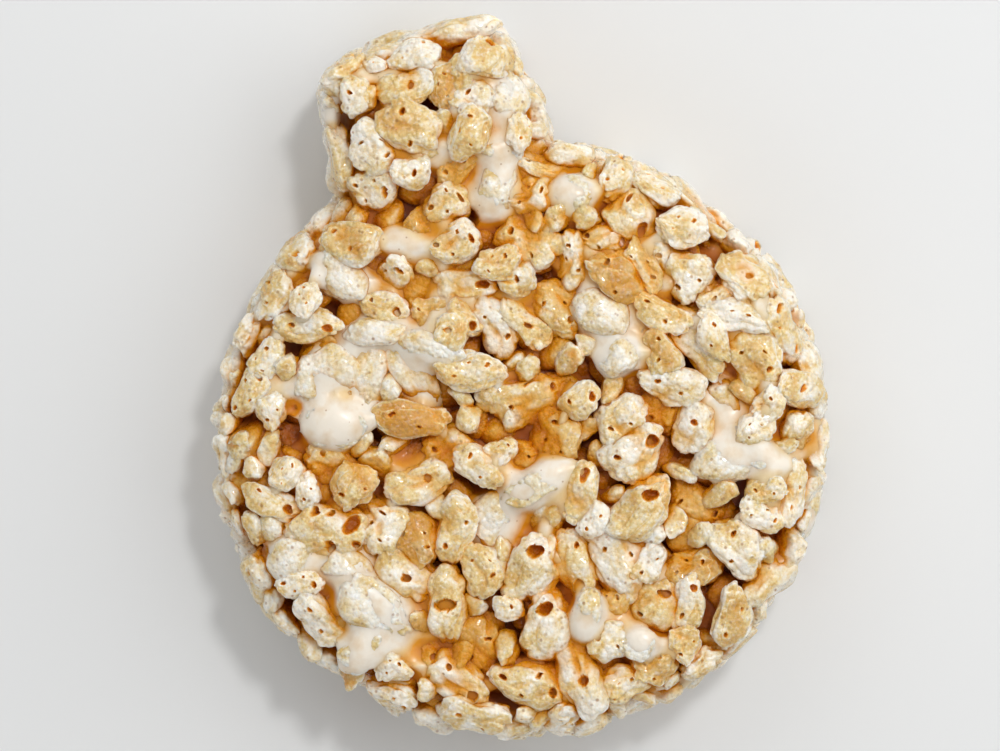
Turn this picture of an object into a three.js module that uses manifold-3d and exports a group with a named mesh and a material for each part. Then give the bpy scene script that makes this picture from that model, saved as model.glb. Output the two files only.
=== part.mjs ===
// A puffed rice and marshmallow treat, cut from a pressed slab in the shape of a bauble:
// a round ball with a short cap on top. It lies flat, cap towards +Y, +Z up, in millimetres.
// The whole treat is one solid: a marshmallow-bound core with puffed rice kernels standing out of it.
import * as THREE from 'three';
import { mergeVertices } from 'three/addons/utils/BufferGeometryUtils.js';
import { MeshSurfaceSampler } from 'three/addons/math/MeshSurfaceSampler.js';
import Module from 'manifold-3d';

// Driving dimensions of the treat, measured over the kernels.
const BALL_WIDTH = 69;
const BALL_LENGTH = 67;
const CAP_REACH = 13.5; // how far the cap stands beyond the ball
const CAP_TIP_WIDTH = 21.5;
const CAP_ROOT_WIDTH = 25;
const CAP_CORNER = 4; // how far the cap's corners are cut back
const CAP_RUNS_IN = 14; // how far the cap's block runs in under the ball
const THICKNESS = 20;
const SHOULDER_DROP = 8; // height of the rounded upper edge
const SHOULDER_INSET = 6; // how far that edge draws in

// Puffed rice kernels, at true size: the smallest and largest of each measure.
const KERNEL_LENGTH = [6.6, 8.8];
const KERNEL_WIDTH = [3.8, 4.8];
const KERNEL_FLATNESS = 0.85; // height over width
const KERNEL_SIDES = 6;
const KERNEL_BANDS = 3; // bands of faces from end to end
const KERNEL_STANDS_OUT = 2.1; // how far kernels reach out of the core
const KERNEL_SPREAD = 0.7; // how much that reach varies either way
const KERNEL_LEAN = 0.35; // largest tilt of a kernel out of the surface, in radians
const KERNEL_COUNT = 214;
const CANDIDATES = 120; // places tried for each kernel
const UNDERSIDE_NORMAL = -0.5; // faces that look further down than this carry no kernels
const SEED = 20;

const WALL_HEIGHT = THICKNESS - KERNEL_STANDS_OUT - SHOULDER_DROP; // the core's upright side
const BALL_SEGMENTS = 48;
const SHOULDER_STEPS = 3;

// The same numbers on every run, each from 0 to 1.
function seededRandom(seed) {
  let state = seed;
  return () => {
    state = (state + 0x6d2b79f5) | 0;
    let mixed = Math.imul(state ^ (state >>> 15), state | 1);
    mixed ^= mixed + Math.imul(mixed ^ (mixed >>> 7), mixed | 61);
    return ((mixed ^ (mixed >>> 14)) >>> 0) / 4294967296;
  };
}

const random = seededRandom(SEED);
const between = ([low, high]) => low + (high - low) * random();

const wasm = await Module();
wasm.setup();

// A closed three.js geometry as a solid that can be joined and cut. Triangles that close up on the axis are dropped.
function toSolid(geometry) {
  const bare = geometry.clone();
  bare.deleteAttribute('normal');
  bare.deleteAttribute('uv');
  const merged = mergeVertices(bare, 1e-4);
  const corners = merged.index.array;
  const triVerts = [];
  for (let i = 0; i < corners.length; i += 3) {
    const triangle = [corners[i], corners[i + 1], corners[i + 2]];
    if (new Set(triangle).size === 3) triVerts.push(...triangle);
  }
  return new wasm.Manifold(
    new wasm.Mesh({
      numProp: 3,
      vertProperties: new Float32Array(merged.attributes.position.array),
      triVerts: new Uint32Array(triVerts),
    }),
  );
}

// A joined or cut solid as a three.js geometry.
function toGeometry(solid) {
  const mesh = solid.getMesh();
  const geometry = new THREE.BufferGeometry();
  geometry.setAttribute('position', new THREE.BufferAttribute(mesh.vertProperties, 3));
  geometry.setIndex(new THREE.BufferAttribute(mesh.triVerts, 1));
  geometry.computeVertexNormals();
  return geometry;
}

// What lies under the table top, to cut the foot of the treat flat.
function underTable() {
  const reach = 2 * (BALL_LENGTH + CAP_REACH);
  return toSolid(new THREE.BoxGeometry(reach, reach, reach).translate(0, 0, -reach / 2));
}

// The ball of the bauble: a turned slab with upright sides and a rounded upper edge, a little shorter than wide.
function ballSolid() {
  const radius = BALL_WIDTH / 2 - KERNEL_STANDS_OUT;
  const profile = [new THREE.Vector2(0, 0), new THREE.Vector2(radius, 0)];
  for (let step = 0; step <= SHOULDER_STEPS; step += 1) {
    const angle = (step / SHOULDER_STEPS) * (Math.PI / 2);
    const inset = SHOULDER_INSET * (1 - Math.cos(angle));
    profile.push(new THREE.Vector2(radius - inset, WALL_HEIGHT + SHOULDER_DROP * Math.sin(angle)));
  }
  profile.push(new THREE.Vector2(0, WALL_HEIGHT + SHOULDER_DROP));
  const turned = new THREE.LatheGeometry(profile, BALL_SEGMENTS).rotateX(Math.PI / 2);
  const squash = (BALL_LENGTH / 2 - KERNEL_STANDS_OUT) / radius;
  return toSolid(turned.scale(1, squash, 1));
}

// The cap: a flared block with the same rounded upper edge, which runs in under the ball's top.
function capSolid() {
  const rim = BALL_LENGTH / 2 - KERNEL_STANDS_OUT;
  const root = rim - CAP_RUNS_IN;
  const tip = rim + CAP_REACH;
  const tipHalf = CAP_TIP_WIDTH / 2 - KERNEL_STANDS_OUT;
  const rootHalf = CAP_ROOT_WIDTH / 2 - KERNEL_STANDS_OUT;
  const outline = new THREE.Shape();
  outline.moveTo(-rootHalf, root);
  outline.lineTo(rootHalf, root);
  outline.lineTo(rootHalf, rim);
  outline.lineTo(tipHalf, tip - CAP_CORNER);
  outline.lineTo(tipHalf - CAP_CORNER, tip);
  outline.lineTo(CAP_CORNER - tipHalf, tip);
  outline.lineTo(-tipHalf, tip - CAP_CORNER);
  outline.lineTo(-rootHalf, rim);
  outline.closePath();
  const block = new THREE.ExtrudeGeometry(outline, {
    depth: WALL_HEIGHT,
    bevelThickness: SHOULDER_DROP,
    bevelSize: SHOULDER_INSET,
    bevelOffset: -SHOULDER_INSET,
    bevelSegments: SHOULDER_STEPS,
  });
  return toSolid(block);
}

// The marshmallow-bound core, flat on top and underneath.
function coreSolid() {
  return ballSolid().add(capSolid()).subtract(underTable());
}

// One kernel, a faceted ellipsoid along X, set on the core with its long side in the surface.
function kernelSolid(point, normal) {
  const length = between(KERNEL_LENGTH);
  const width = between(KERNEL_WIDTH);
  const height = width * KERNEL_FLATNESS;
  const lift = KERNEL_STANDS_OUT + KERNEL_SPREAD * (2 * random() - 1) - height / 2;
  const along = new THREE.Quaternion().setFromUnitVectors(new THREE.Vector3(0, 0, 1), normal);
  const turn = new THREE.Euler(0, KERNEL_LEAN * (2 * random() - 1), 2 * Math.PI * random(), 'ZYX');
  const place = new THREE.Matrix4().compose(
    point.clone().addScaledVector(normal, lift),
    along.multiply(new THREE.Quaternion().setFromEuler(turn)),
    new THREE.Vector3(length, width, height),
  );
  const girth = 1 / Math.sin(Math.PI / KERNEL_BANDS); // the middle band's rings lie off the widest place
  const grain = new THREE.SphereGeometry(0.5, KERNEL_SIDES, KERNEL_BANDS).rotateZ(-Math.PI / 2);
  return toSolid(grain.scale(1, girth, girth).applyMatrix4(place));
}

// Places for the kernels, spread evenly over the top and sides of the core: each new one is the candidate
// that lies furthest from those already there.
function kernelPlaces(core) {
  const facets = toGeometry(core).toNonIndexed();
  facets.computeVertexNormals();
  const sampler = new MeshSurfaceSampler(new THREE.Mesh(facets)).setRandomGenerator(random).build();
  const places = [];
  while (places.length < KERNEL_COUNT) {
    let best = { gap: -1 };
    for (let tried = 0; tried < CANDIDATES; tried += 1) {
      const point = new THREE.Vector3();
      const normal = new THREE.Vector3();
      sampler.sample(point, normal);
      const gap = Math.min(...places.map((place) => place.point.distanceTo(point)));
      if (gap > best.gap && normal.z > UNDERSIDE_NORMAL) best = { gap, point, normal };
    }
    places.push(best);
  }
  return places;
}

// The treat: the core with its kernels joined on, cut flat at the foot and centred over the origin.
function treatGeometry() {
  const core = coreSolid();
  const kernels = kernelPlaces(core).map(({ point, normal }) => kernelSolid(point, normal));
  const treat = wasm.Manifold.union([core, ...kernels]).subtract(underTable());
  const geometry = toGeometry(treat);
  geometry.computeBoundingBox();
  const middle = geometry.boundingBox.getCenter(new THREE.Vector3());
  return geometry.translate(-middle.x, -middle.y, 0);
}

const material = new THREE.MeshStandardMaterial({ color: '#e3cfa3', roughness: 0.45, metalness: 0 });
const treat = new THREE.Mesh(treatGeometry(), material);
treat.name = 'crispy_treat';

const group = new THREE.Group();
group.add(treat);

export default group;
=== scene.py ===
import math

import bmesh
import bpy
import numpy as np
from mathutils import Matrix, Vector, noise


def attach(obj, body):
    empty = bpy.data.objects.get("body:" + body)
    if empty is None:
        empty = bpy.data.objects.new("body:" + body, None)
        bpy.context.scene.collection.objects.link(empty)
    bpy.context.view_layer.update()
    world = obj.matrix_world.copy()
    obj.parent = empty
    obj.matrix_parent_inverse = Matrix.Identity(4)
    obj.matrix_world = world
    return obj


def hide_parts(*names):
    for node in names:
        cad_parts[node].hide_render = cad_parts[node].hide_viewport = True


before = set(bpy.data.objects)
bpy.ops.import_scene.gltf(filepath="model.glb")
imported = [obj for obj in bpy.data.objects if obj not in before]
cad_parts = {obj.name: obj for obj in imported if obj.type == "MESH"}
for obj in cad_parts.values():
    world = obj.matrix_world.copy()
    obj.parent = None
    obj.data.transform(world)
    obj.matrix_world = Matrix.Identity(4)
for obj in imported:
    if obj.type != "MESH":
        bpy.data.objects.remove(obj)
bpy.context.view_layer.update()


# The pressed slab: warm puffed rice and marshmallow patted flat, then cut out as a bauble, a round ball with
# a short flared cap. It has no skin of its own: kernels and marshmallow are packed inside this form.
MM = 0.001  # the slab is worked out in millimetres, and its meshes are in metres
BALL_WIDTH = 69.0
BALL_LENGTH = 67.0
CAP_REACH = 13.5  # how far the cap stands beyond the ball
CAP_TIP_WIDTH = 21.5
CAP_ROOT_WIDTH = 25.0
CAP_CORNER = 4.5
THICKNESS = 20.0
SHOULDER = 6.5  # radius of the upper edge
ROOT_FILLET = 2.0  # where the cap runs into the ball
BALL_Y = -CAP_REACH / 2  # the ball's middle, with the whole bauble centred over the origin
RIM_Y = BALL_Y + BALL_LENGTH / 2
TIP_Y = RIM_Y + CAP_REACH
SLAB_LOW = np.array([-BALL_WIDTH / 2, BALL_Y - BALL_LENGTH / 2, 0])
SLAB_HIGH = np.array([BALL_WIDTH / 2, TIP_Y, THICKNESS])


def inside_outline(x, y):
    """How far points lie inside the cut outline, seen from above."""
    ball = (1 - np.hypot(2 * x / BALL_WIDTH, 2 * (y - BALL_Y) / BALL_LENGTH)) * BALL_LENGTH / 2
    along = np.clip((y - RIM_Y) / CAP_REACH, 0, 1)
    side = (CAP_ROOT_WIDTH + (CAP_TIP_WIDTH - CAP_ROOT_WIDTH) * along) / 2 - np.abs(x)
    side = np.where(y < BALL_Y, -BALL_WIDTH, side)
    end = TIP_Y - y
    corner = np.hypot(np.maximum(CAP_CORNER - side, 0), np.maximum(CAP_CORNER - end, 0))
    cap = CAP_CORNER - corner + np.maximum(np.minimum(side, end) - CAP_CORNER, 0)
    blend = np.clip(0.5 + (ball - cap) / (2 * ROOT_FILLET), 0, 1)
    return cap + (ball - cap) * blend + ROOT_FILLET * blend * (1 - blend)


def depth_inside(points):
    """How deep points lie under the slab's surface, below zero outside it."""
    across = SHOULDER - inside_outline(points[..., 0], points[..., 1])
    above = points[..., 2] - (THICKNESS - SHOULDER)
    edge = np.hypot(np.maximum(across, 0), np.maximum(above, 0))
    crown = SHOULDER - edge - np.minimum(np.maximum(across, above), 0)
    return np.minimum(crown, points[..., 2])


def outward(points):
    """The direction out of the slab at each point."""
    step = 0.05
    slopes = [depth_inside(points - step * axis) - depth_inside(points + step * axis) for axis in np.eye(3)]
    slope = np.stack(slopes, axis=-1)
    return slope / np.maximum(np.linalg.norm(slope, axis=-1, keepdims=True), 1e-9)


# The view: almost straight above, a little from the upper right, with the cap leaning to the left. Kernels
# that can be told apart from above are placed by where they show in a picture of 1000 by 751 pixels.
ROLL = math.radians(15.5)
TILT = math.radians(5)
TILT_WAY = (0.6, 0.8)  # of the tilt, towards the picture's right and up
PIXELS_PER_MM = 9.0
PICTURE_SIZE = (1000, 751)
LOOK_AT = np.array([0.0, 1.0, 14.0])
LOOK_FROM = 500.0
SIGHT_ENDS = (22.0, 4.0)  # heights between which a line of sight is followed down
SIGHT_STEPS = 181
above = np.array([0.0, 0.0, 1.0])
picture_right = np.array([math.cos(ROLL), -math.sin(ROLL), 0])
picture_up = np.array([math.sin(ROLL), math.cos(ROLL), 0])
tilt_way = picture_up * TILT_WAY[1] + picture_right * TILT_WAY[0]
view = above * math.cos(TILT) + tilt_way * math.sin(TILT)
frame_right = np.cross(picture_up, view)
frame_right /= np.linalg.norm(frame_right)
frame_up = np.cross(view, frame_right)


def under_picture(across, down, depth):
    """Where the lines of sight through places in the picture first reach a depth inside the slab."""
    eye = LOOK_AT + LOOK_FROM * view
    right = (across - PICTURE_SIZE[0] / 2) / PIXELS_PER_MM
    upwards = (PICTURE_SIZE[1] / 2 - down) / PIXELS_PER_MM
    sight = LOOK_AT + right[:, None] * frame_right + upwards[:, None] * frame_up - eye
    levels = np.linspace(*SIGHT_ENDS, SIGHT_STEPS)
    points = eye + sight[:, None] * ((levels - eye[2])[None, :, None] / sight[:, None, 2:])
    depths = depth_inside(points)
    reached = depths >= depth[:, None]
    first = np.where(reached.any(1), reached.argmax(1), depths.argmax(1))
    return points[np.arange(len(points)), first]


# Puffed rice kernels: rice grains blown up in hot air to a crisp, lumpy, bubbled shell, some with bubbles
# that broke open. They lie as they were patted down, long side along the surface, stuck to each other.
SEED = 11
KERNEL_LENGTH = (5.6, 8.8)
KERNEL_WIDTH = (3.8, 5.4)
KERNEL_FLATNESS = (0.58, 0.8)  # height over width
TALLEST = 3.9  # of the kernels placed by the picture
TYPICAL_KERNEL = Vector((7.4, 4.5, 3.6))
LUMP_WAVES = [(2.0, 1.0, 1), (4.5, 0.55, -1), (9.0, 0.3, 1)]  # how tight, how high, and which way they drift
BEND, DROOP, TAPER = 0.14, 0.1, 0.35  # the most that a kernel bends, droops and tapers
BLISTER = 1.9  # spacing of the bubbles that swell a kernel's skin
FROTH = 0.8  # spacing of the small bubbles between them
FROTH_HEIGHT = 0.35  # over the height of the large ones
DOME = 0.3  # how high a bubble's middle stands over its edge
CREASE = 0.13  # depth of the folds between its lobes, as a share of its radius
CREASE_WIDTH = 0.14
CREASE_TIGHTNESS = 2.6
DENT_FROM = 0.4  # how far from a bubble's middle the dent around it starts
BLISTER_DENT, FROTH_DENT, CREASE_DENT = 1.2, 0.8, 0.5  # how strongly each shows
BLUNTNESS = 0.14  # how much fuller a kernel's ends are than an ellipsoid's
FLAT_BACK = 2.7  # 2 gives a round back, and more a flatter one with a tighter rim
FINE_FROM = -0.12  # height over which a kernel's mesh is finer
HOLE_DEPTH = 1.1  # of a bubble that broke open
HOLE_WALL, HOLE_SHADE = 5, 8  # higher gives steeper walls, and painted shade closer to the lip
LIP_REACH = 0.13  # how far the skin around it is drawn to its lip
LIP_HEIGHT = 0.1
LIP_END = 1.6  # where the raised skin ends, in radii
LIP_OVAL, LIP_UNEVEN = 0.14, 0.06  # how far the lip is out of round

# Open bubbles by pattern: place along and across the kernel, radius, and how much wider than long they are.
FEW_PITS = [(-0.24, 0.1, 0.38, 1.0), (0.12, -0.2, 0.31, 1.2)]
PITS = [(0.22, 0.12, 0.34, 1.2), (-0.2, -0.14, 0.3, 1.0), (-0.02, 0.22, 0.26, 1.0)]
OPEN_BUBBLES = {
    "one": [(0.08, 0.02, 0.5, 1.0)],
    "end": [(0.25, 0.02, 0.76, 0.9)],
    "wide": [(0.0, 0.0, 0.62, 1.7)],
    "two": [(0.29, -0.06, 0.6, 1.2), (-0.2, 0.14, 0.38, 1.0)],
    "five": [
        (-0.16, 0.28, 0.42, 1.0),
        (0.05, 0.29, 0.32, 1.2),
        (0.28, 0.18, 0.75, 1.0),
        (0.36, -0.14, 0.45, 1.0),
        (0.07, -0.3, 0.45, 1.3),
    ],
    "many": [
        (-0.3, 0.1, 0.45, 0.8),
        (-0.08, -0.24, 0.3, 1.0),
        (0.14, 0.2, 0.34, 1.0),
        (0.31, -0.08, 0.5, 1.3),
    ],
}

# Kernels that can be told apart: place in the picture, length and width in pixels, turn in degrees, and kind.
IN_THE_CAP = [
    (450, 28, 92, 40, 8, "pale"), (385, 48, 42, 34, 20, "plain"), (417, 60, 46, 38, 15, "pale"),
    (407, 88, 54, 32, 10, "one"), (482, 58, 44, 40, 60, "end"), (463, 74, 36, 22, 90, "one"),
    (448, 88, 44, 32, 80, "amber"), (472, 104, 40, 34, -60, "pale"), (502, 97, 54, 40, 70, "coated"),
    (357, 98, 40, 30, 80, "one"), (411, 131, 64, 44, -45, "plain"), (443, 118, 44, 34, 60, "deep"),
    (470, 133, 52, 36, 75, "plain"), (457, 163, 44, 34, 60, "amber"), (377, 150, 50, 40, -50, "pale"),
    (412, 173, 34, 28, 0, "one"), (518, 133, 36, 24, 80, "pale"), (502, 151, 36, 24, 0, "coated"),
    (495, 190, 52, 34, 75, "coated"), (446, 202, 44, 36, 30, "many"), (530, 197, 44, 34, 0, "pale"),
    (373, 187, 44, 36, 0, "many"), (345, 72, 44, 36, 60, "plain"), (375, 66, 32, 22, -30, "pale"),
]
ON_THE_LEFT = [
    (353, 240, 60, 44, -8, "plain"), (404, 244, 28, 22, -20, "coated"), (425, 230, 44, 36, -20, "amber"),
    (455, 242, 50, 34, 20, "many"), (465, 285, 58, 32, -5, "end"), (341, 276, 58, 40, -40, "coated"),
    (382, 306, 44, 30, -20, "two"), (427, 313, 36, 32, 0, "amber"), (308, 326, 62, 30, 3, "two"),
    (375, 333, 54, 24, 3, "coated"), (277, 298, 46, 38, 60, "plain"), (305, 298, 36, 24, 75, "pale"),
    (248, 335, 38, 28, 70, "pale"), (268, 360, 38, 28, 60, "pale"), (255, 392, 48, 30, 60, "many"),
    (275, 409, 40, 24, 80, "pale"), (328, 374, 62, 50, 20, "coated"), (366, 378, 76, 38, 85, "coated"),
    (333, 424, 56, 40, 0, "coated"), (335, 461, 54, 42, -20, "two"), (290, 432, 38, 26, 0, "deep"),
    (288, 473, 32, 26, 30, "pale"), (272, 500, 56, 28, -22, "two"), (309, 491, 34, 22, 85, "pale"),
    (327, 530, 76, 50, -8, "five"), (268, 532, 44, 26, -10, "deep"), (355, 486, 48, 38, 50, "plain"),
    (230, 455, 44, 34, 70, "pale"), (300, 583, 42, 24, 5, "many"), (322, 618, 58, 32, -50, "pale"),
    (350, 569, 54, 36, -30, "coated"), (376, 608, 80, 48, -40, "coated"), (292, 560, 42, 38, 60, "coated"),
]
IN_THE_MIDDLE = [
    (415, 372, 76, 38, -60, "coated"), (428, 348, 58, 26, -12, "coated"), (445, 335, 38, 30, 80, "one"),
    (468, 371, 66, 30, 0, "plain"), (462, 320, 40, 32, -50, "end"), (494, 325, 58, 34, -65, "pale"),
    (413, 418, 66, 34, -5, "amber"), (450, 450, 54, 38, 15, "pale"), (386, 448, 38, 30, 0, "deep"),
    (408, 454, 34, 26, 20, "deep"), (503, 450, 30, 24, 20, "pale"), (481, 468, 52, 32, -35, "pale"),
    (422, 481, 62, 36, 20, "one"), (383, 528, 50, 44, 60, "pale"), (417, 541, 50, 40, -60, "amber"),
    (455, 530, 64, 36, 75, "plain"), (493, 520, 52, 42, 60, "coated"), (405, 573, 62, 42, -50, "one"),
    (446, 604, 70, 36, 88, "wide"), (483, 569, 48, 42, -60, "plain"), (477, 640, 60, 52, 80, "amber"),
    (530, 396, 84, 46, 10, "plain"), (578, 400, 38, 30, 20, "two"), (622, 419, 46, 40, 60, "plain"),
    (558, 437, 52, 44, 80, "plain"), (524, 452, 40, 30, 10, "amber"), (582, 490, 60, 32, 80, "end"),
    (540, 484, 72, 28, 30, "coated"), (593, 520, 36, 26, 70, "pale"), (530, 567, 66, 46, 60, "end"),
    (575, 566, 66, 40, -72, "two"), (620, 562, 78, 48, -60, "pale"), (640, 508, 72, 42, 50, "end"),
    (635, 450, 60, 48, 45, "two"), (650, 563, 38, 24, 70, "pale"), (522, 322, 62, 34, -50, "one"),
    (555, 311, 64, 42, -45, "plain"), (515, 278, 36, 32, 0, "one"), (528, 243, 66, 50, -20, "plain"),
    (574, 258, 54, 30, 85, "pale"), (600, 312, 52, 42, -30, "coated"), (585, 371, 42, 38, 0, "deep"),
    (617, 356, 38, 30, 30, "coated"), (498, 263, 40, 30, 20, "plain"), (500, 400, 40, 30, 60, "deep"),
]
ON_THE_RIGHT = [
    (617, 275, 60, 44, -40, "amber"), (643, 264, 56, 28, -65, "plain"), (630, 216, 54, 44, -50, "two"),
    (660, 257, 36, 28, 80, "one"), (690, 276, 48, 42, 60, "pale"), (682, 226, 50, 32, 5, "pale"),
    (605, 237, 46, 30, 0, "many"), (573, 195, 36, 32, 0, "coated"), (644, 335, 38, 26, 85, "one"),
    (660, 312, 58, 32, -25, "plain"), (694, 342, 76, 34, -47, "plain"), (660, 352, 46, 32, -60, "plain"),
    (715, 337, 46, 28, -70, "pale"), (733, 317, 58, 28, -10, "pale"), (752, 357, 60, 48, -60, "plain"),
    (672, 384, 62, 34, -8, "pale"), (713, 297, 32, 26, 0, "one"), (662, 407, 46, 38, 60, "amber"),
    (694, 425, 46, 36, 70, "one"), (725, 411, 58, 28, -75, "coated"), (754, 428, 34, 28, 30, "pale"),
    (752, 448, 62, 24, -40, "coated"), (728, 458, 58, 40, 10, "coated"), (700, 505, 62, 50, -40, "amber"),
    (737, 548, 56, 38, -65, "pale"), (763, 514, 42, 32, -35, "pale"), (767, 487, 36, 30, 20, "plain"),
    (791, 490, 60, 30, 85, "pale"), (690, 568, 54, 32, 5, "amber"), (765, 405, 34, 26, 40, "pale"),
    (742, 275, 56, 40, -40, "one"), (653, 190, 50, 30, -20, "plain"), (611, 182, 44, 32, 70, "pale"),
]
AT_THE_FOOT = [
    (395, 665, 38, 30, 10, "pale"), (336, 663, 38, 28, 75, "one"), (393, 691, 48, 32, 0, "many"),
    (420, 650, 52, 38, -45, "plain"), (457, 679, 64, 42, -40, "two"), (475, 713, 66, 36, -12, "plain"),
    (527, 682, 68, 44, -10, "many"), (510, 608, 28, 24, 0, "one"), (546, 626, 66, 48, 80, "end"),
    (588, 615, 46, 26, 80, "coated"), (612, 603, 38, 30, 20, "plain"), (612, 638, 48, 36, 10, "pale"),
    (640, 643, 30, 26, 0, "coated"), (582, 673, 84, 42, -75, "one"), (655, 604, 50, 42, 60, "two"),
    (690, 601, 52, 30, 80, "two"), (685, 641, 36, 28, 80, "plain"), (653, 661, 46, 38, 50, "plain"),
    (732, 613, 54, 30, 85, "plain"), (362, 652, 50, 30, 40, "coated"), (620, 684, 44, 32, 20, "plain"),
]
RULE_KINDS = ["plain", "pale", "amber", "coated", "one", "two", "end", "many"]
RULE_SHARES = [0.34, 0.22, 0.1, 0.1, 0.07, 0.07, 0.05, 0.05]
DEEPER = {"amber": 0.8, "deep": 2.6}
TOAST = {  # how toasted each kind is, from 0 to 1
    "plain": (0.16, 0.46),
    "pale": (-0.1, 0.1),
    "amber": (0.6, 0.9),
    "deep": (0.45, 0.85),
    "coated": (0.0, 0.1),
}
OPEN_TOAST = (0.0, 0.35)
TOAST_LEFT_ON_LIT_SIDES = 0.15  # share of it that shows on the upright sides, painted paler as lit
TOP_FACING = 0.8  # kernels that face up more than this have all of it

chance = np.random.default_rng(SEED)


def kernel_shape(seed, lumps, blisters, holes, fineness, fine_top):
    """A lumpy, bent, tapering grain swollen with blisters, a unit long, wide and high, with holes in its top.

    Gives its corner places and triangles, and how far each corner is in a hole, is in a dent, and faces up.
    """
    grain = bmesh.new()
    bmesh.ops.create_icosphere(grain, subdivisions=fineness, radius=0.5)
    if fine_top:
        upper = [edge for edge in grain.edges if min(vert.co.z for vert in edge.verts) > FINE_FROM]
        bmesh.ops.subdivide_edges(grain, edges=upper, cuts=1, use_grid_fill=True)
        bmesh.ops.triangulate(grain, faces=grain.faces)
    grain.verts.index_update()
    drift = Vector((seed * 3.7, seed * 1.9, seed * 2.3))
    bend = BEND * math.sin(seed * 2.1)
    droop = DROOP * math.sin(seed * 3.3)
    taper = TAPER * math.sin(seed * 1.3)
    opens = np.zeros(len(grain.verts))
    dents = np.zeros(len(grain.verts))
    for vert in grain.verts:
        place = vert.co.normalized() * 0.5
        swell = sum(high * noise.noise(place * tight + way * drift) for tight, high, way in LUMP_WAVES)
        blister = noise.voronoi(place * TYPICAL_KERNEL / BLISTER + drift)[0][0]
        froth = noise.voronoi(place * TYPICAL_KERNEL / FROTH - drift)[0][0]
        fold = max(1 - abs(noise.noise(place * CREASE_TIGHTNESS - 2 * drift)) / CREASE_WIDTH, 0)
        relief = blisters * (DOME - blister * blister) + FROTH_HEIGHT * blisters * (DOME - froth * froth)
        relief -= CREASE * fold
        # Dents between bubbles and in folds, marked for painted shade.
        dent = BLISTER_DENT * (blister - DENT_FROM) + FROTH_DENT * (froth - DENT_FROM) + CREASE_DENT * fold
        dents[vert.index] = min(max(dent, 0), 1)
        round_back = math.hypot(place.x, place.y) ** FLAT_BACK + abs(place.z) ** FLAT_BACK
        shaped = place * ((1 + lumps * swell + relief) * 0.5 / round_back ** (1 / FLAT_BACK))
        shaped.x = math.copysign(abs(2 * shaped.x) ** (1 - BLUNTNESS) / 2, shaped.x)
        arc = 4 * place.x * place.x - 0.4
        shaped.y *= 1 + taper * place.x
        shaped.y += bend * arc
        shaped.z += droop * arc
        vert.co = shaped
    bmesh.ops.smooth_vert(
        grain, verts=grain.verts, factor=0.3, use_axis_x=True, use_axis_y=True, use_axis_z=True
    )
    for number, (hole_x, hole_y, radius, widening) in enumerate(holes):
        tops = [vert.co for vert in grain.verts if vert.co.z > 0]
        middle = min(tops, key=lambda c: math.hypot(c.x - hole_x, c.y - hole_y)).copy()
        for vert in grain.verts:
            off = (vert.co - middle) * TYPICAL_KERNEL
            angle = math.atan2(off.y, off.x)
            oval = LIP_OVAL * math.sin(2 * angle + seed + number)
            lip = radius * (1 + oval + LIP_UNEVEN * math.sin(3 * angle - seed))
            far = math.hypot(off.x, off.y / widening) / lip
            if vert.co.z < 0 or far > LIP_END:
                continue
            if abs(far - 1) < LIP_REACH / radius:
                vert.co.x += (1 / far - 1) * off.x / TYPICAL_KERNEL.x
                vert.co.y += (1 / far - 1) * off.y / TYPICAL_KERNEL.y
                vert.co.z += LIP_HEIGHT / TYPICAL_KERNEL.z
                dents[vert.index] = 0
            elif far < 1:
                vert.co.z -= HOLE_DEPTH * (1 - far**HOLE_WALL) / TYPICAL_KERNEL.z
                # Marked for painted shade inside the open bubble, fading out at its lip.
                opens[vert.index] = 1 - far**HOLE_SHADE
            else:
                vert.co.z += LIP_HEIGHT * (LIP_END - far) / (LIP_END - 1) / TYPICAL_KERNEL.z
                dents[vert.index] = 0
    bmesh.ops.triangulate(grain, faces=grain.faces)
    corners = np.array([vert.co for vert in grain.verts])
    triangles = np.array([[vert.index for vert in face.verts] for face in grain.faces])
    bmesh.ops.scale(grain, verts=grain.verts, vec=TYPICAL_KERNEL)
    grain.normal_update()
    facings = np.array([vert.normal.z for vert in grain.verts])
    grain.free()
    return corners, triangles, opens, dents, facings


# The shapes that kernels take turns in, each with its seed, lumps, blisters, holes, and fineness of mesh.
whole_shapes = [
    kernel_shape(i + 1, 0.16 + 0.06 * (i % 3), 0.19, PITS if i % 2 else FEW_PITS, 4, True) for i in range(14)
]
open_shapes = {
    pattern: [kernel_shape(i + 3 * number + 24, 0.15, 0.2, holes, 4, True) for i in range(2)]
    for number, (pattern, holes) in enumerate(OPEN_BUBBLES.items())
}
side_shapes = [
    kernel_shape(i + 51, 0.22, 0.28, OPEN_BUBBLES["two"] if i < 2 else [], 4, False) for i in range(6)
]
smooth_shapes = [kernel_shape(i + 91, 0.16, 0.1, [], 4, False) for i in range(5)]
inner_shapes = [kernel_shape(i + 61, 0.14, 0.2, [], 3, False) for i in range(4)]
crumb_shapes = [kernel_shape(i + 71, 0.34, 0.34, [], 3, False) for i in range(6)]
under_shapes = [kernel_shape(i + 81, 0.14, 0.14, [], 2, False) for i in range(4)]


# Where kernels lie: the ones that can be told apart as the picture shows them, the rest spread out by a rule.
KERNEL_LEAN = 0.35  # largest tilt out of the surface
FLANK_LEAN = 1.3  # how much larger it is where the slab was cut
SEEN_LEAN = 0.15
SPACING = 3.6  # between kernels that were placed by the rule
INNER_SPACING = 4.1
SPREAD_TRIES = 26000
SPREAD_REACH = 1.0  # how far off the depth a try may start
HIDDEN_SHARE = 1.14  # how much larger a kernel is than what neighbours leave to be seen of it
SHELL_DEPTH = 2.3  # middle of a shell kernel under the slab's surface
INNER_DEPTH = 3.7  # of the kernels that show only through gaps
SEEN_SINKS = (-0.8, 1.1)  # how far a kernel's back lies under the slab's surface
SHELL_SINKS = (-0.6, 1.6)


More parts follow.
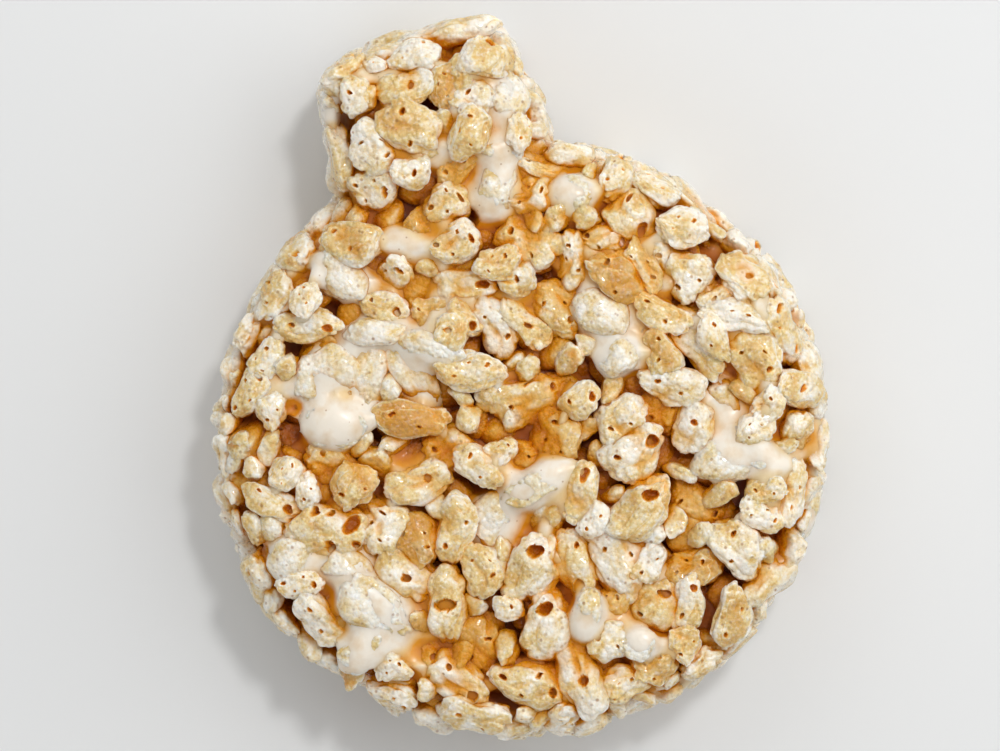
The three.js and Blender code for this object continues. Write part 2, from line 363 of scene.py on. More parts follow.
def spread_under_surface(depth, spacing, taken):
    """Places for kernels at one depth, no closer to each other and to those taken than the spacing."""
    tries = SLAB_LOW + (SLAB_HIGH - SLAB_LOW) * chance.random((SPREAD_TRIES, 3))
    tries = tries[np.abs(depth_inside(tries) - depth) < SPREAD_REACH]
    for _ in range(3):
        tries = tries + (depth_inside(tries) - depth)[:, None] * outward(tries)
    gap = np.full(len(tries), 1e9)
    for place in taken:
        gap = np.minimum(gap, np.linalg.norm(tries - place, axis=1))
    chosen = []
    while gap.max() > spacing:
        best = int(np.argmax(gap))
        chosen.append(tries[best])
        gap = np.minimum(gap, np.linalg.norm(tries - tries[best], axis=1))
    return np.array(chosen)


def between(limits, count):
    """Random numbers between two limits."""
    return limits[0] + (limits[1] - limits[0]) * chance.random(count)


def lie_along(directions, up, lean):
    """Directions laid into the surface and then tilted out of it by up to a lean."""
    flat = directions - (directions * up).sum(1, keepdims=True) * up
    flat /= np.linalg.norm(flat, axis=1, keepdims=True)
    flat += up * (lean * (2 * chance.random(len(up)) - 1))[:, None]
    return flat / np.linalg.norm(flat, axis=1, keepdims=True)


rows = IN_THE_CAP + ON_THE_LEFT + IN_THE_MIDDLE + ON_THE_RIGHT + AT_THE_FOOT
seen = np.array([row[:5] for row in rows], float)
kinds = [row[5] for row in rows]
seen_lengths, seen_widths = seen[:, 2:4].T * HIDDEN_SHARE / PIXELS_PER_MM
seen_heights = np.minimum(seen_widths * between(KERNEL_FLATNESS, len(seen)), TALLEST)
seen_depths = seen_heights / 2 + between(SEEN_SINKS, len(seen)) + [DEEPER.get(kind, 0) for kind in kinds]
seen_middles = under_picture(seen[:, 0], seen[:, 1], seen_depths)
turn = np.radians(seen[:, 4])[:, None]
seen_ways = np.cos(turn) * picture_right + np.sin(turn) * picture_up
seen_axes = lie_along(seen_ways, outward(seen_middles), SEEN_LEAN)

# The rest: more in the shell around those, and a second layer behind the shell.
quarters = np.outer(seen_lengths, [-0.25, 0, 0.25])[..., None]
taken = (seen_middles[:, None] + seen_axes[:, None] * quarters).reshape(-1, 3)
shell = spread_under_surface(SHELL_DEPTH, SPACING, taken)
inner = spread_under_surface(INNER_DEPTH, INNER_SPACING, [])
more = len(shell) + len(inner)
kinds += list(chance.choice(RULE_KINDS, len(shell), p=RULE_SHARES)) + ["deep"] * len(inner)
middles = np.concatenate([seen_middles, shell, inner])
lengths = np.concatenate([seen_lengths, between(KERNEL_LENGTH, more)])
widths = np.concatenate([seen_widths, between(KERNEL_WIDTH, more)])
heights = np.concatenate([seen_heights, widths[len(seen) :] * between(KERNEL_FLATNESS, more)])
up = outward(middles)
lean = KERNEL_LEAN + FLANK_LEAN * (1 - np.abs(up[len(seen) :, 2]))
axes = np.concatenate([seen_axes, lie_along(chance.normal(size=(more, 3)), up[len(seen) :], lean)])
kernel_count = len(middles)
order = np.arange(kernel_count)
is_seen = order < len(seen)
is_shell = order < len(seen) + len(shell)
is_coated = np.array(kinds) == "coated"
shell_depth = heights / 2 + between(SHELL_SINKS, kernel_count)
rest_depth = np.where(is_shell, shell_depth, INNER_DEPTH)
rest_depth[: len(seen)] = seen_depths
toast = np.array([between(TOAST.get(kind, OPEN_TOAST), 1)[0] for kind in kinds])

# The kernels settle: each is three balls in a row, which push apart where they overlap and stay in the slab.
# The ones placed by the picture move only in and out of the surface.
SETTLING_STEPS = 40
PACKING = 0.94  # how close kernels come, as a share of touching
PUSH_APART = 0.25  # share of an overlap that one step takes away
PUSH_IN = 0.5  # and of an overhang
STAYS_IN = 0.95  # share of a ball's radius that stays inside the slab
SEEN_PROUD = 1.2  # how far kernels may stand out past that
RULE_PROUD = (0, 0.8)
LARGEST_MOVE = 0.4  # in one step
LARGEST_SWING = 0.08
SEEN_GIVE = 0.3  # share of a move that a kernel placed by the picture takes
PULL_BACK = 0.1  # share of the way back to its own depth
ball_radius = np.repeat(np.minimum(widths, heights) * 0.5, 3)
owner = np.repeat(order, 3)
rule_proud = np.maximum(up[:, 2], 0) * between(RULE_PROUD, kernel_count)
proud = np.repeat(np.where(is_seen, SEEN_PROUD, rule_proud), 3)
reach = (lengths - np.minimum(widths, heights)) / 2
along = np.array([-1, 0, 1])[None, :, None] * reach[:, None, None]
for _ in range(SETTLING_STEPS):
    balls = (middles[:, None] + axes[:, None] * along).reshape(-1, 3)
    squares = (balls**2).sum(1)
    gaps = np.sqrt(np.maximum(squares[:, None] + squares[None] - 2 * balls @ balls.T, 1e-6))
    overlap = PACKING * (ball_radius[:, None] + ball_radius[None]) - gaps
    first, second = np.nonzero((overlap > 0) & (owner[:, None] != owner[None]))
    push = np.zeros_like(balls)
    share = PUSH_APART * overlap[first, second] / gaps[first, second]
    way = (balls[first] - balls[second]) * share[:, None]
    np.add.at(push, first, way)
    short = ball_radius * STAYS_IN - proud - depth_inside(balls)
    push -= np.where((short > 0)[:, None], outward(balls) * short[:, None] * PUSH_IN, 0)
    push = push.reshape(-1, 3, 3)
    move = np.clip(push.mean(1), -LARGEST_MOVE, LARGEST_MOVE)
    swing = np.clip((push[:, 2] - push[:, 0]) / (2 * reach[:, None] + 1), -LARGEST_SWING, LARGEST_SWING)
    up = outward(middles)
    in_and_out = SEEN_GIVE * (move * up).sum(1, keepdims=True) * up
    middles = middles + np.where(is_seen[:, None], in_and_out, move)
    axes = axes + np.where(is_seen[:, None], 0, swing)
    axes /= np.linalg.norm(axes, axis=1, keepdims=True)
    middles += PULL_BACK * up * (depth_inside(middles) - rest_depth)[:, None]

# Crumbs: bits of broken kernels caught in the gaps of the top and the shoulder.
CRUMB_LENGTH = (2.6, 4.6)
CRUMB_WIDTH = (1.8, 3.0)
CRUMB_DEPTH = 1.5
CRUMB_SPACING = 2.45  # from kernels and from each other
CRUMB_LEAN = 0.6
CRUMB_TOAST = (0.0, 0.6)
CRUMB_FACING = 0.15  # none lie where the surface faces up less than this
shell_balls = (middles[:, None] + axes[:, None] * along)[is_shell].reshape(-1, 3)
crumbs = spread_under_surface(CRUMB_DEPTH, CRUMB_SPACING, shell_balls)
crumbs = crumbs[outward(crumbs)[:, 2] > CRUMB_FACING]
more = len(crumbs)
middles = np.concatenate([middles, crumbs])
axes = np.concatenate([axes, lie_along(chance.normal(size=(more, 3)), outward(crumbs), CRUMB_LEAN)])
lengths = np.concatenate([lengths, between(CRUMB_LENGTH, more)])
widths = np.concatenate([widths, between(CRUMB_WIDTH, more)])
heights = np.concatenate([heights, widths[kernel_count:] * between(KERNEL_FLATNESS, more)])
toast = np.concatenate([toast, between(CRUMB_TOAST, more)])
kinds += ["crumb"] * more
is_seen, is_coated = [np.append(flags, np.zeros(more, bool)) for flags in (is_seen, is_coated)]
is_shell = np.append(is_shell, np.ones(more, bool))
kernel_count += more
order = np.arange(kernel_count)

up = outward(middles)
faces_up = up[:, 2]
# The upright sides are painted paler, as light falls on them.
toast *= TOAST_LEFT_ON_LIT_SIDES + (1 - TOAST_LEFT_ON_LIT_SIDES) * np.clip(faces_up / TOP_FACING, 0, 1)
sides = np.cross(up, axes)
sides /= np.linalg.norm(sides, axis=1, keepdims=True)
up = np.cross(axes, sides)
turns = np.stack([axes, sides, up], axis=1)  # rows: a kernel's own X, Y and Z
sizes = np.stack([lengths, widths, heights], axis=1)

# A grid through the slab holds, for each cell, how far it is to the nearest kernel, below zero inside one.
CELL = 0.5
GRID_MARGIN = 4.0  # around the slab, and one more above it
GRID_REACH = 2.0  # how far around a kernel the grid is worked out
FARTHEST = 3.0  # what it holds elsewhere
grid_low = SLAB_LOW - GRID_MARGIN
grid_high = SLAB_HIGH + GRID_MARGIN + [0, 0, 1]
grid_shape = ((grid_high - grid_low) / CELL).astype(int)
steps = np.meshgrid(*[np.arange(n) for n in grid_shape], indexing="ij")
cell_middles = grid_low + CELL * (np.stack(steps, axis=-1) + 0.5)


def gap_to_kernels(chosen):
    """The grid of how far each cell is from the skin of the chosen kernels."""
    grid = np.full(tuple(grid_shape), FARTHEST)
    for index in chosen:
        middle, size = middles[index], sizes[index]
        start = ((middle - size.max() / 2 - GRID_REACH - grid_low) / CELL).astype(int)
        stop = ((middle + size.max() / 2 + GRID_REACH - grid_low) / CELL).astype(int) + 2
        start, stop = np.maximum(start, 0), np.minimum(stop, grid_shape)
        block = tuple(slice(a, b) for a, b in zip(start, stop))
        local = (cell_middles[block] - middle) @ turns[index].T / (size / 2)
        spread = np.linalg.norm(local, axis=-1)
        steep = np.linalg.norm(local / (size / 2), axis=-1)
        grid[block] = np.minimum(grid[block], spread * (spread - 1) / np.maximum(steep, 1e-6))
    return grid


skin_gap = gap_to_kernels(order[~is_coated])
coat_gap = gap_to_kernels(order[is_coated])

# How closed in each cell is: the filled share close and wide around it, from 0 in the open to 1 in a pit.
CLOSE_AROUND, WIDE_AROUND = 0.8, 1.8
BLUR_TAPS = 9  # cells to either side
is_filled = np.minimum(skin_gap, coat_gap) < 0
is_filled = (is_filled | (depth_inside(cell_middles) > INNER_DEPTH)).astype(np.float32)


def blurred(grid, width):
    """The grid averaged over a width."""
    taps = np.arange(-BLUR_TAPS, BLUR_TAPS + 1)
    weights = np.exp(-0.5 * (taps * CELL / width) ** 2)
    weights /= weights.sum()
    for axis in range(3):
        grid = sum(weight * np.roll(grid, tap, axis) for weight, tap in zip(weights, taps))
    return grid


closed_near, closed_wide = blurred(is_filled, CLOSE_AROUND), blurred(is_filled, WIDE_AROUND)


def read_grid(grid, points):
    """A grid's values at points, read between its cells."""
    spot = np.clip((points - grid_low) / CELL - 0.5, 0, grid_shape - 1.001)
    base = spot.astype(int)
    part = spot - base
    total = 0
    for corner in np.ndindex(2, 2, 2):
        share = np.prod(np.where(corner, part, 1 - part), axis=1)
        at = np.minimum(base + corner, grid_shape - 1)
        total = total + share * grid[at[:, 0], at[:, 1], at[:, 2]]
    return total


# No two kernels are quite alike, so each copy of a shape is warped by waves that run through the slab.
WAVES = 6
WAVE_TIGHTNESS = 0.6
WAVE_HEIGHT = 0.09
PRESSED = 0.2  # share of a kernel's overhang that the cutter pressed back
RIM_FACING, RIM_FADE = 0.78, 0.3  # where its skin turns down into its rim, and how fast
PAINTED_RIM_LIGHT = 0.85  # painted rim light: how much paler the rim is than its toasted back
RIM_CLEAR = 0.2  # how much less painted crevice shade the rim takes on next to a crevice
RING_FACING, RING_FADE = 0.84, 0.14  # the band just inside the rim
PAINTED_RING_SHADE = 0.2  # how much darker that is painted, as shade
PAINTED_DENT_SHADE = 0.35  # and the dents between bubbles, painted darker as shade
wave_ways = chance.normal(size=(WAVES, 3)) * WAVE_TIGHTNESS
wave_moves = chance.normal(size=(WAVES, 3)) * WAVE_HEIGHT
wave_starts = chance.random(WAVES) * 2 * math.pi


def inside_slab(places):
    """Places with those that stand out of the slab pressed back towards it, and flush with the foot."""
    out = -depth_inside(places)
    way = outward(places)
    share = PRESSED * (1 - np.maximum(way[:, 2], 0))
    pressed = places - np.where(out > 0, out * share, 0)[:, None] * way
    pressed[:, 2] = np.maximum(pressed[:, 2], 0)
    return pressed


def lay_kernels(chosen, shapes):
    """Joined corner places, triangles and marks of kernels, each a copy of a shape laid in its place."""
    corners, triangles, opens, toasts, rims = [], [], [], [], []
    total = 0
    for count, index in enumerate(chosen):
        options = open_shapes.get(kinds[index], shapes) if shapes is whole_shapes else shapes
        shape, faces, holes, dents, facings = options[count % len(options)]
        if not is_seen[index] and chance.random() < 0.5:
            shape = shape * [-1, -1, 1]
        placed = (shape * sizes[index]) @ turns[index] + middles[index]
        placed = inside_slab(placed + np.sin(placed @ wave_ways.T + wave_starts) @ wave_moves)
        # The rim is painted paler, as if lit through its thin edge.
        rim = np.clip((RIM_FACING - facings) / RIM_FADE, 0, 1)
        # The band just inside the rim is painted darker, as shade on the slope.
        ring = np.clip(1 - np.abs(facings - RING_FACING) / RING_FADE, 0, 1)
        corners.append(placed)
        triangles.append(faces + total)
        opens.append(holes)
        # The toast mark takes on painted rim light, and painted shade in the ring and the dents.
        toasts.append(toast[index] * (1 - PAINTED_RIM_LIGHT * rim) + PAINTED_DENT_SHADE * dents + PAINTED_RING_SHADE * ring)
        rims.append(rim * np.clip(1 + facings / RIM_FADE, 0, 1))
        total += len(placed)
    return [np.concatenate(part) for part in (corners, triangles, opens, toasts, rims)]


def set_mark(mesh, mark, values):
    """Gives each corner of a mesh a number for its material to read."""
    mesh.attributes.new(mark, "FLOAT", "POINT").data.foreach_set("value", values.astype(np.float32))


def read_corners(mesh, what):
    """The places or the normals of a mesh's corners."""
    values = np.empty(len(mesh.vertices) * 3, np.float32)
    mesh.vertices.foreach_get(what, values)
    return values.reshape(-1, 3)


def piece_from(name, corners, triangles, **marks):
    """A smooth-shaded object from joined arrays in millimetres, with each mark as a number at each corner."""
    mesh = bpy.data.meshes.new(name)
    mesh.from_pydata((corners * MM).tolist(), [], triangles.tolist())
    for mark, values in marks.items():
        set_mark(mesh, mark, values)
    mesh.shade_smooth()
    piece = bpy.data.objects.new(name, mesh)
    bpy.context.scene.collection.objects.link(piece)
    return piece


# Crevices, for painted shade: a place lies in one as far as it is closed in, and as far as it lies deep in
# the slab.
NEAR_STEP, WIDE_STEP = 0.5, 0.8  # how far off the skin the filled shares are read
NEAR_OPEN, WIDE_OPEN = 0.24, 0.21  # shares up to which a place is in the open
CLOSED_SPAN = 0.4  # how much more closes it in
DEEP_FROM, DEEP_SPAN = 1.0, 3.5  # depths in the slab
CLOSED_WEIGHT, DEEP_WEIGHT = 0.58, 0.42
STEEP_FACING = 0.6  # surfaces that face up less than this count as sides
FLANK_CLEAR = 0.5  # how much clearer the sides are, which light reaches more easily


def mark_crevice_shade(mesh, clear):
    """Marks painted crevice shade: how far each corner of a mesh lies in a crevice, from 0 to 1, and less
    where it is clear.
    """
    places, normals = read_corners(mesh, "co") / MM, read_corners(mesh, "normal")
    near = read_grid(closed_near, places + NEAR_STEP * normals) - NEAR_OPEN
    wide = read_grid(closed_wide, places + WIDE_STEP * normals) - WIDE_OPEN
    closed = 0.5 * np.clip(near / CLOSED_SPAN, 0, 1) + 0.5 * np.clip(wide / CLOSED_SPAN, 0, 1)
    deep = np.clip((depth_inside(places) - DEEP_FROM) / DEEP_SPAN, 0, 1)
    steep = 1 - np.clip(outward(places)[:, 2] / STEEP_FACING, 0, 1)
    # Painted shade: the more closed in and the deeper, the darker amber the colour.
    marks = np.clip(CLOSED_WEIGHT * closed + DEEP_WEIGHT * deep, 0, 1)
    marks *= (1 - clear) * (1 - FLANK_CLEAR * steep)
    set_mark(mesh, "crevice_shade_mark", marks)


def linear(colour, alpha=1.0):
    """An sRGB hex colour as linear light."""
    parts = [int(colour[i : i + 2], 16) / 255 for i in (1, 3, 5)]
    return (*[p / 12.92 if p <= 0.04045 else ((p + 0.055) / 1.055) ** 2.4 for p in parts], alpha)


def add_node(tree, kind, inputs=None, stops=(), span=(), **settings):
    """A node with its settings: each input is a value, or the output that is linked to it.

    Stops are those of a colour ramp. A span is where a value starts and ends, and what these become.
    """
    made = tree.nodes.new(kind)
    for name, value in zip(("From Min", "From Max", "To Min", "To Max"), span):
        made.inputs[name].default_value = value
    for number, (place, colour) in enumerate(stops):
        ramp = made.color_ramp.elements
        stop = ramp[number] if number < 2 else ramp.new(place)
        stop.position, stop.color = place, linear(colour)
    for name, value in settings.items():
        setattr(made, name, value)
    for name, value in (inputs or {}).items():
        if isinstance(value, bpy.types.NodeSocket):
            tree.links.new(value, made.inputs[name])
        else:
            made.inputs[name].default_value = value
    return made


# Puffed rice: a toasted starch foam with a thin sugar glaze. Pale straw with tan flecks, pinholes painted as
# dark dots of shade, paler rims painted as light, and painted amber shade where light has come through it
# many times, down in crevices and in open bubbles.
TOAST_TINTS = [(0.0, "#f9f4e6"), (1.0, "#cc8a1e"), (0.45, "#ebd495")]
# Tints of the painted shade in crevices and open bubbles, from light amber to dark brown.
CREVICE_SHADE_TINTS = [(0.0, "#e9b348"), (1.0, "#6a2800"), (0.3, "#d98e10"), (0.55, "#c26e02"), (0.8, "#9c4a00")]
# Pinholes are painted as brown dots of shade.
PINHOLE_SHADE_TINT = "#a06c2e"
PORE_SPACING = 0.9
BUBBLE_SPACING = 0.6
RICE_PATTERNS = [  # size, detail and roughness
    (3.2, 1.0, 0.5),  # patches
    (1.6, 3.0, 0.6),  # blotches
    (0.6, 2.0, 0.5),  # mottle
    (0.3, 3.0, 0.7),  # grit
]
rice = bpy.data.materials.new("puffed rice, glazed")
rice.use_nodes = True
tree = rice.node_tree
tree.nodes.clear()
where = add_node(tree, "ShaderNodeTexCoord").outputs["Object"]
# The toast mark: the kernel's own toasting together with painted rim light and painted shade.
toasted = add_node(tree, "ShaderNodeAttribute", attribute_name="toast").outputs["Fac"]
crevice_shade_mark = add_node(tree, "ShaderNodeAttribute", attribute_name="crevice_shade_mark").outputs["Fac"]
opened = add_node(tree, "ShaderNodeAttribute", attribute_name="open").outputs["Fac"]
patch, blotch, mottle, grit = [
    add_node(
        tree,
        "ShaderNodeTexNoise",
        {"Vector": where, "Scale": 1 / (size * MM), "Detail": detail, "Roughness": roughness},
    ).outputs["Fac"]
    for size, detail, roughness in RICE_PATTERNS
]
pores = add_node(tree, "ShaderNodeTexVoronoi", {"Vector": where, "Scale": 1 / (PORE_SPACING * MM)})
bubbles = add_node(
    tree, "ShaderNodeTexVoronoi", {"Vector": where, "Scale": 1 / (BUBBLE_SPACING * MM)}
).outputs["Distance"]
uneven = add_node(tree, "ShaderNodeMapRange", {"Value": patch}, span=(0.3, 0.7, -0.3, 0.3)).outputs["Result"]
toasted = add_node(tree, "ShaderNodeMath", {0: toasted, 1: uneven}, operation="ADD").outputs["Value"]
base = add_node(tree, "ShaderNodeValToRGB", {"Fac": toasted}, stops=TOAST_TINTS).outputs["Color"]
crisp = add_node(tree, "ShaderNodeMapRange", {"Value": toasted}, span=(0.0, 0.55, 0.3, 1.0)).outputs["Result"]
frosty = add_node(tree, "ShaderNodeMapRange", {"Value": toasted}, span=(0.2, 0.9, 1.0, 0.3)).outputs["Result"]

# Colours laid over the toast: pattern, where none and all of it shows, the most of it, and what it goes with.
layers = [
    (blotch, 0.48, 0.72, 0.35, crisp, "#d9a640"),  # tan blotches
    (mottle, 0.5, 0.68, 0.26, crisp, "#d09c3c"),  # flecks
    (mottle, 0.47, 0.3, 0.5, frosty, "#ffffff"),  # froth
    (grit, 0.54, 0.68, 0.46, crisp, "#b8842e"),  # fine specks
    (grit, 0.46, 0.33, 0.5, frosty, "#ffffff"),  # sugar
    (bubbles, 0.35, 0.75, 0.25, crisp, "#dca848"),  # painted shade between the bubbles of the skin
]
for texture, none_at, all_at, most, level, colour in layers:
    share = add_node(
        tree, "ShaderNodeMapRange", {"Value": texture}, span=(none_at, all_at, 0.0, most)
    ).outputs["Result"]
    share = add_node(tree, "ShaderNodeMath", {0: share, 1: level}, operation="MULTIPLY").outputs["Value"]
    base = add_node(
        tree, "ShaderNodeMix", {0: share, 6: base, 7: linear(colour)}, data_type="RGBA"
    ).outputs[2]
# Pinholes painted dark, as shade in them.
pinhole_shade_share = add_node(
    tree, "ShaderNodeMapRange", {"Value": pores.outputs["Distance"]}, span=(0.12, 0.28, 0.85, 0.0)
).outputs["Result"]
pinhole_shade_share = add_node(
    tree, "ShaderNodeMath", {0: pinhole_shade_share, 1: pores.outputs["Color"]}, operation="MULTIPLY"
).outputs["Value"]
base = add_node(
    tree, "ShaderNodeMix", {0: pinhole_shade_share, 6: base, 7: linear(PINHOLE_SHADE_TINT)}, data_type="RGBA"
).outputs[2]
# Open bubbles take painted shade too, at most 0.7 of the full.
amber = add_node(tree, "ShaderNodeMath", {0: opened, 1: 0.7}, operation="MULTIPLY").outputs["Value"]
painted_shade = add_node(tree, "ShaderNodeMath", {0: crevice_shade_mark, 1: amber}, operation="MAXIMUM").outputs["Value"]
# Painted amber shade over crevices and open bubbles.
crevice_shade_colour = add_node(tree, "ShaderNodeValToRGB", {"Fac": painted_shade}, stops=CREVICE_SHADE_TINTS).outputs["Color"]
painted_shade_share = add_node(tree, "ShaderNodeMapRange", {"Value": painted_shade}, span=(0.03, 0.26)).outputs["Result"]
base = add_node(tree, "ShaderNodeMix", {0: painted_shade_share, 6: base, 7: crevice_shade_colour}, data_type="RGBA").outputs[2]
glaze = add_node(tree, "ShaderNodeMapRange", {"Value": painted_shade}, span=(0.05, 0.35, 0.6, 0.0)).outputs["Result"]
rough = add_node(tree, "ShaderNodeMapRange", {"Value": grit}, span=(0.3, 0.7, 0.2, 0.38)).outputs["Result"]
skin = add_node(
    tree, "ShaderNodeBump", {"Strength": 0.8, "Distance": 0.3 * MM, "Height": bubbles}, invert=True
).outputs["Normal"]
skin = add_node(
    tree, "ShaderNodeBump", {"Strength": 1.0, "Distance": 0.13 * MM, "Height": grit, "Normal": skin}
).outputs["Normal"]
surface = add_node(
    tree,
    "ShaderNodeBsdfPrincipled",
    {
        "Base Color": base,
        "Roughness": rough,
        "IOR": 1.45,
        "Coat Weight": glaze,
        "Coat Roughness": 0.05,
        "Subsurface Weight": 0.5,
        "Subsurface Radius": (1.6, 1.0, 0.45),
        "Subsurface Scale": 1.0 * MM,
        "Normal": skin,
    },
    subsurface_method="BURLEY",
)
add_node(tree, "ShaderNodeOutputMaterial", {"Surface": surface.outputs["BSDF"]})

# Kernels are sorted into pieces by kind, and by which way the slab faces where they lie.
CROWN_FACING = 0.45  # what faces up more than this is seen from above
INNER_FACING = 0.4  # the same for the layer behind
FOOT_FACING = -0.6  # what faces up less than this lies underneath
kind_of = np.array(kinds)
is_crumb = kind_of == "crumb"
is_open = np.isin(kind_of, list(OPEN_BUBBLES))
crown = is_shell & ~is_crumb & (is_seen | (faces_up > CROWN_FACING)) & (kind_of != "deep")
flank = is_shell & ~is_crumb & ~crown & (is_seen | (faces_up > FOOT_FACING))
foot = is_shell & ~is_seen & (faces_up <= FOOT_FACING)
behind = ~is_shell & (faces_up > INNER_FACING)
pieces = [
    ("puffed_rice_straw", crown & np.isin(kind_of, ["plain", "amber"]), whole_shapes),
    ("puffed_rice_pale", crown & (kind_of == "pale"), whole_shapes),
    ("puffed_rice_open", crown & is_open, whole_shapes),
    ("puffed_rice_coated", crown & is_coated, smooth_shapes),
    ("puffed_rice_sides", flank, side_shapes),
    ("puffed_rice_crumbs", is_crumb, crumb_shapes),
    ("puffed_rice_inner", behind, inner_shapes),
    ("puffed_rice_under", foot | (~is_shell & ~behind), under_shapes),
]
for name, chosen, shapes in pieces:
    corners, triangles, opens, toasts, rims = lay_kernels(order[chosen], shapes)
    piece = piece_from(name, corners, triangles, open=opens, toast=toasts)
    mark_crevice_shade(piece.data, RIM_CLEAR * rims)
    piece.data.materials.append(rice)
    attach(piece, "root")
    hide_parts("crispy_treat")


# Marshmallow: melted and set again, it coats some kernels, fillets the gaps between others and bridges them.
# One soft, closed mass that fills the slab behind the kernels.
FILLET = 0.5  # gaps narrower than about twice this are filled
VOXEL = 0.54
SUNK = (0.6, 1.4)  # how far the marshmallow lies below a bare kernel's skin
COAT_SUNK = (-0.3, 0.1)  # and below the skin of one that it coats
INNER_SUNK = 0.4  # and of one behind the shell
MOST_SUNK = 0.4  # as a share of the kernel's height
COAT_SPILL = 0.5  # how much longer and wider a coat is than its kernel
WHITE_REACH = 1.3  # how far around a coated kernel marshmallow stays white, with less painted crevice shade
WHITE_CLEAR = 0.7  # how much less painted amber shade it takes on there
FULL_THICKNESS = 1.0  # of marshmallow over a kernel, marked as 1
BRIDGE_GAP = 1.3  # widest gap that marshmallow bridges
BRIDGED_SHARE = 0.34
BRIDGE_RADIUS = (0.7, 1.2)
BRIDGE_LENGTH = 0.9  # as a share of what it spans

plain = bmesh.new()
bmesh.ops.create_icosphere(plain, subdivisions=2, radius=0.5)
ball_corners = np.array([vert.co for vert in plain.verts])
ball_faces = np.array([[vert.index for vert in face.verts] for face in plain.faces])
plain.free()
lump_corners, lump_faces = [], []


def add_lump(middle, turn, size):
    """A ball drawn out to a size and grown by the fillet, which the melting takes off again."""
    lump_faces.append(ball_faces + len(lump_faces) * len(ball_corners))
    lump_corners.append((ball_corners * (np.asarray(size) + 2 * FILLET)) @ turn + middle)


for index in range(kernel_count):
    sunk = between(COAT_SUNK if is_coated[index] else SUNK, 1)[0] if is_shell[index] else INNER_SUNK
    sunk = min(sunk, heights[index] * MOST_SUNK)
    spill = COAT_SPILL if is_coated[index] and is_shell[index] else 0
    add_lump(middles[index], turns[index], sizes[index] - 2 * sunk + np.array([spill, spill, 0]))
pairs = np.nonzero(np.triu(gaps - ball_radius[:, None] - ball_radius[None] < BRIDGE_GAP, 1))
balls_shell = is_shell[owner]
for first, second in zip(*pairs):
    if owner[first] == owner[second] or not (balls_shell[first] and balls_shell[second]):
        continue
    if chance.random() > BRIDGED_SHARE:
        continue
    way = balls[second] - balls[first]
    length = np.linalg.norm(way)
    way = way / length
    spot = (balls[first] + balls[second]) / 2
    flat = np.cross(outward(spot[None])[0], way)
    flat /= np.linalg.norm(flat)
    thick = between(BRIDGE_RADIUS, 2)
    size = (length * BRIDGE_LENGTH, 2 * thick[0], 2 * thick[1])
    add_lump(spot, np.stack([way, flat, np.cross(way, flat)]), size)

# The lumps and a plain core melt into one mass, which settles and draws in again by the fillet.
mass = piece_from("marshmallow", np.concatenate(lump_corners), np.concatenate(lump_faces))
core = bmesh.new()
core.from_mesh(mass.data)
ball_core = bmesh.ops.create_cone(
    core,
    cap_ends=True,
    segments=64,
    radius1=(BALL_LENGTH / 2 - INNER_DEPTH) * MM,
    radius2=(BALL_LENGTH / 2 - INNER_DEPTH) * MM,
    depth=(THICKNESS - 2 * INNER_DEPTH) * MM,
)
bmesh.ops.translate(core, verts=ball_core["verts"], vec=(0, BALL_Y * MM, THICKNESS / 2 * MM))
cap_core = bmesh.ops.create_cube(core, size=MM)
cap_size = (CAP_TIP_WIDTH - 2 * INNER_DEPTH, TIP_Y - BALL_Y - INNER_DEPTH, THICKNESS - 2 * INNER_DEPTH)
bmesh.ops.scale(core, verts=cap_core["verts"], vec=cap_size)
bmesh.ops.translate(
    core, verts=cap_core["verts"], vec=(0, (TIP_Y + BALL_Y - INNER_DEPTH) / 2 * MM, THICKNESS / 2 * MM)
)
core.to_mesh(mass.data)
core.free()
melt = mass.modifiers.new("melt together", "REMESH")
melt.mode = "VOXEL"
melt.voxel_size = VOXEL * MM
melt.use_smooth_shade = True
settle = mass.modifiers.new("settle", "SMOOTH")
settle.factor = 0.5
settle.iterations = 4
draw_in = mass.modifiers.new("draw in", "DISPLACE")
draw_in.strength = -FILLET * MM
draw_in.mid_level = 0.0
relax = mass.modifiers.new("relax", "SMOOTH")
relax.factor = 0.5
relax.iterations = 2
melted = bpy.data.meshes.new_from_object(mass.evaluated_get(bpy.context.evaluated_depsgraph_get()))
mass.modifiers.clear()
mass.data = melted

# Hollows that stayed shut in inside the mass are left out.
lump = bmesh.new()
lump.from_mesh(melted)
outer = {max(lump.verts, key=lambda vert: vert.co.x)}
to_follow = list(outer)
while to_follow:
    vert = to_follow.pop()
    fresh = [other for other in (edge.other_vert(vert) for edge in vert.link_edges) if other not in outer]
    outer.update(fresh)
    to_follow += fresh
bmesh.ops.delete(lump, geom=[vert for vert in lump.verts if vert not in outer], context="VERTS")
lump.to_mesh(melted)
lump.free()
places = inside_slab(read_corners(melted, "co") / MM)
melted.vertices.foreach_set("co", (places * MM).astype(np.float32).ravel())
melted.update()
mark_crevice_shade(melted, WHITE_CLEAR * np.clip(1 - read_grid(coat_gap, places) / WHITE_REACH, 0, 1))
set_mark(melted, "thickness", np.clip(read_grid(skin_gap, places) / FULL_THICKNESS, 0, 1))

